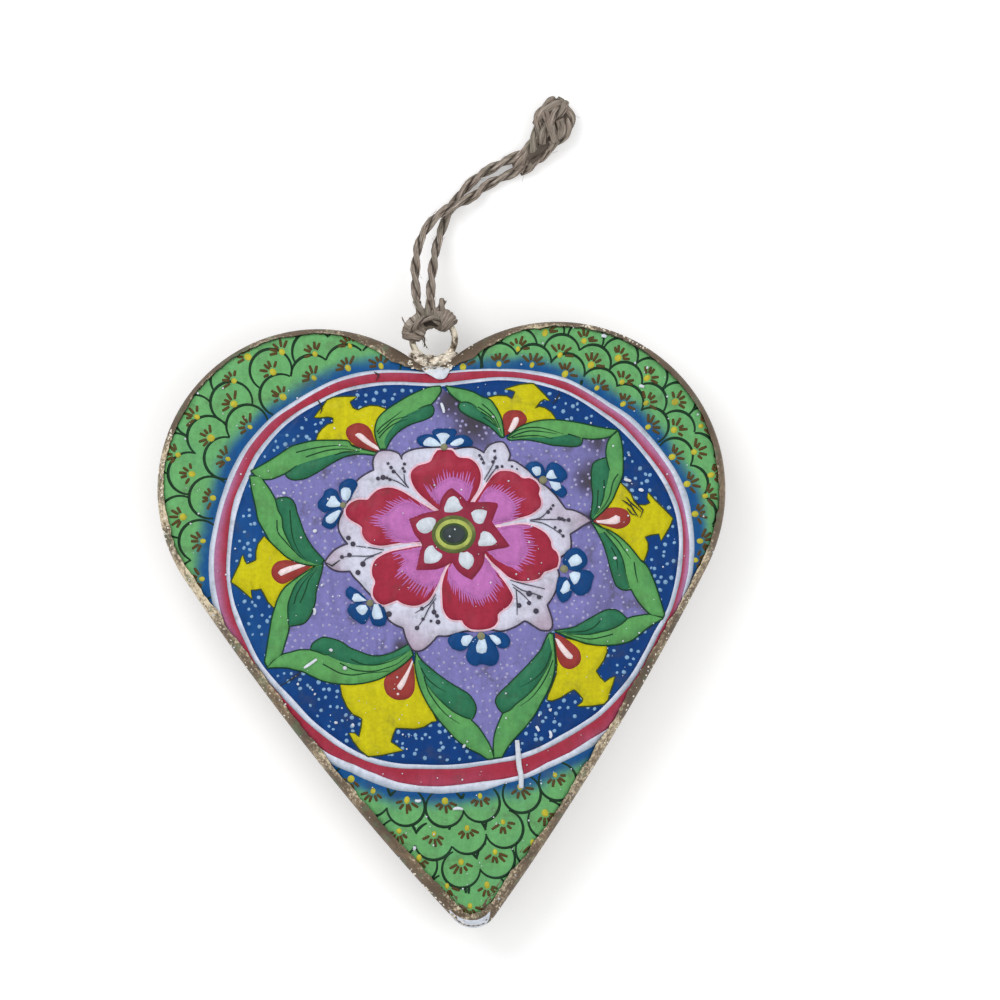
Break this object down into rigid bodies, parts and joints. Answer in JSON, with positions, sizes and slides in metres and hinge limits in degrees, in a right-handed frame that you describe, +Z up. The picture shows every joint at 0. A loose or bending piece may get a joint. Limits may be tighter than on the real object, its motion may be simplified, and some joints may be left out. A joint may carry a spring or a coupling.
{
  "type": "hanging heart ornament",
  "caption": "Puffed heart-shaped sheet-metal ornament with a painted front, a wire ring soldered in its cleft and a hitched loop of jute twine to hang it by.",
  "frame": {"origin": "on the surface that the heart lies on, under the middle of the metal outline, ring included", "axes": "+Z up, away from the surface and out of the painted front; +Y toward the cleft and the ring; +X to the right as the front is seen with the ring at the top"},
  "size_m": [0.1302, 0.191, 0.022],
  "materials": {
    "painted_front": "hand-painted floral medallion under worn varnish",
    "painted_back": "worn bronze paint",
    "seam_solder": "bronze-painted solder",
    "gilt_wire": "dull gilt wire",
    "gilt_solder": "lumpy gilt solder",
    "jute": "coarse two-ply jute"
  },
  "bodies": {
    "heart": {"front_shell": "painted_front", "back_shell": "painted_back", "seam_solder": "seam_solder", "hanger_ring": "gilt_wire", "ring_solder": "gilt_solder"},
    "hitch": {"twine_hitch": "jute", "twine_tail": "jute"},
    "loop": {"twine_left_leg": "jute", "twine_right_leg": "jute", "twine_end_knot": "jute"}
  },
  "joints": [
    {"name": "hitch_slide_round_ring", "type": "hinge", "parent": "heart", "child": "hitch", "pos_m": [-0.00182, 0.06477, 0.011], "axis": [0, 0, 1], "range_deg": [-50, 12]},
    {"name": "loop_swing", "type": "hinge", "parent": "hitch", "child": "loop", "pos_m": [-0.00258, 0.07344, 0.011], "axis": [0.9928, 0.12, 0], "range_deg": [0, 105]}
  ]
}
